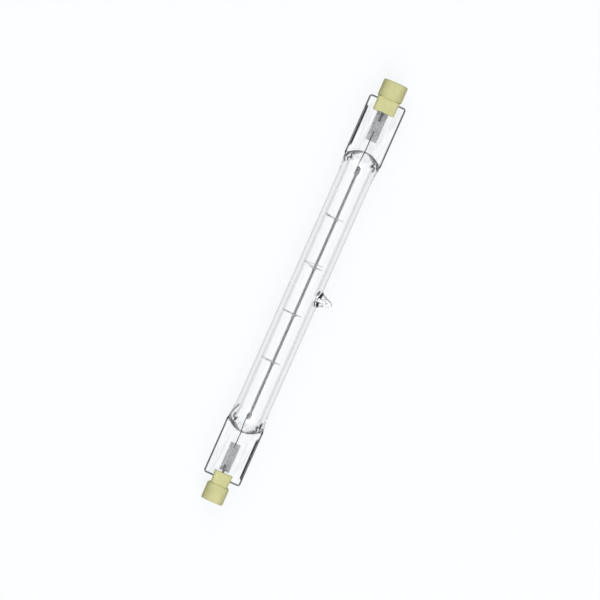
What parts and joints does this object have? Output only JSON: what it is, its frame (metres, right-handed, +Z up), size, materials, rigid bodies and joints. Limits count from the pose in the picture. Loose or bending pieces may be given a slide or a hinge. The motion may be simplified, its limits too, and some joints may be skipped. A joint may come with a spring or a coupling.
{
  "type": "linear halogen bulb",
  "caption": "Linear halogen bulb: a clear quartz tube with a coiled filament, flat pressed ends with sealing foils, and recessed-contact ceramic caps.",
  "frame": {"origin": "on the axis of the quartz tube, at the middle of the lamp between its two contact faces", "axes": "+X along the tube to the right-hand cap, +Z up from the table on which the lamp lies, +Y across the level press seals, away from the exhaust tip"},
  "size_m": [0.1176, 0.0131, 0.0094],
  "materials": {
    "quartz": "clear fused quartz, fire polished",
    "foil": "thin molybdenum foil, mottled where the glass wets it",
    "outer_lead": "drawn molybdenum wire",
    "inner_lead": "drawn tungsten wire",
    "filament": "coiled tungsten wire, dull grey",
    "support_wire": "fine tungsten wire",
    "cap_ceramic": "unglazed steatite, pale yellow, fine grain",
    "contact": "nickel-plated contact metal",
    "cement": "dry lamp cement, chalky"
  },
  "bodies": {
    "root": {"quartz_envelope": "quartz", "foil_left": "foil", "foil_right": "foil", "outer_lead_left": "outer_lead", "outer_lead_right": "outer_lead", "inner_lead_left": "inner_lead", "inner_lead_right": "inner_lead", "filament_coil": "filament", "end_sleeve_left": "filament", "end_sleeve_right": "filament", "support_1": "support_wire", "support_2": "support_wire", "support_3": "support_wire", "support_4": "support_wire", "ceramic_cap_left": "cap_ceramic", "ceramic_cap_right": "cap_ceramic", "contact_button_left": "contact", "contact_button_right": "contact", "cap_cement_left": "cement", "cap_cement_right": "cement"}
  },
  "joints": []
}
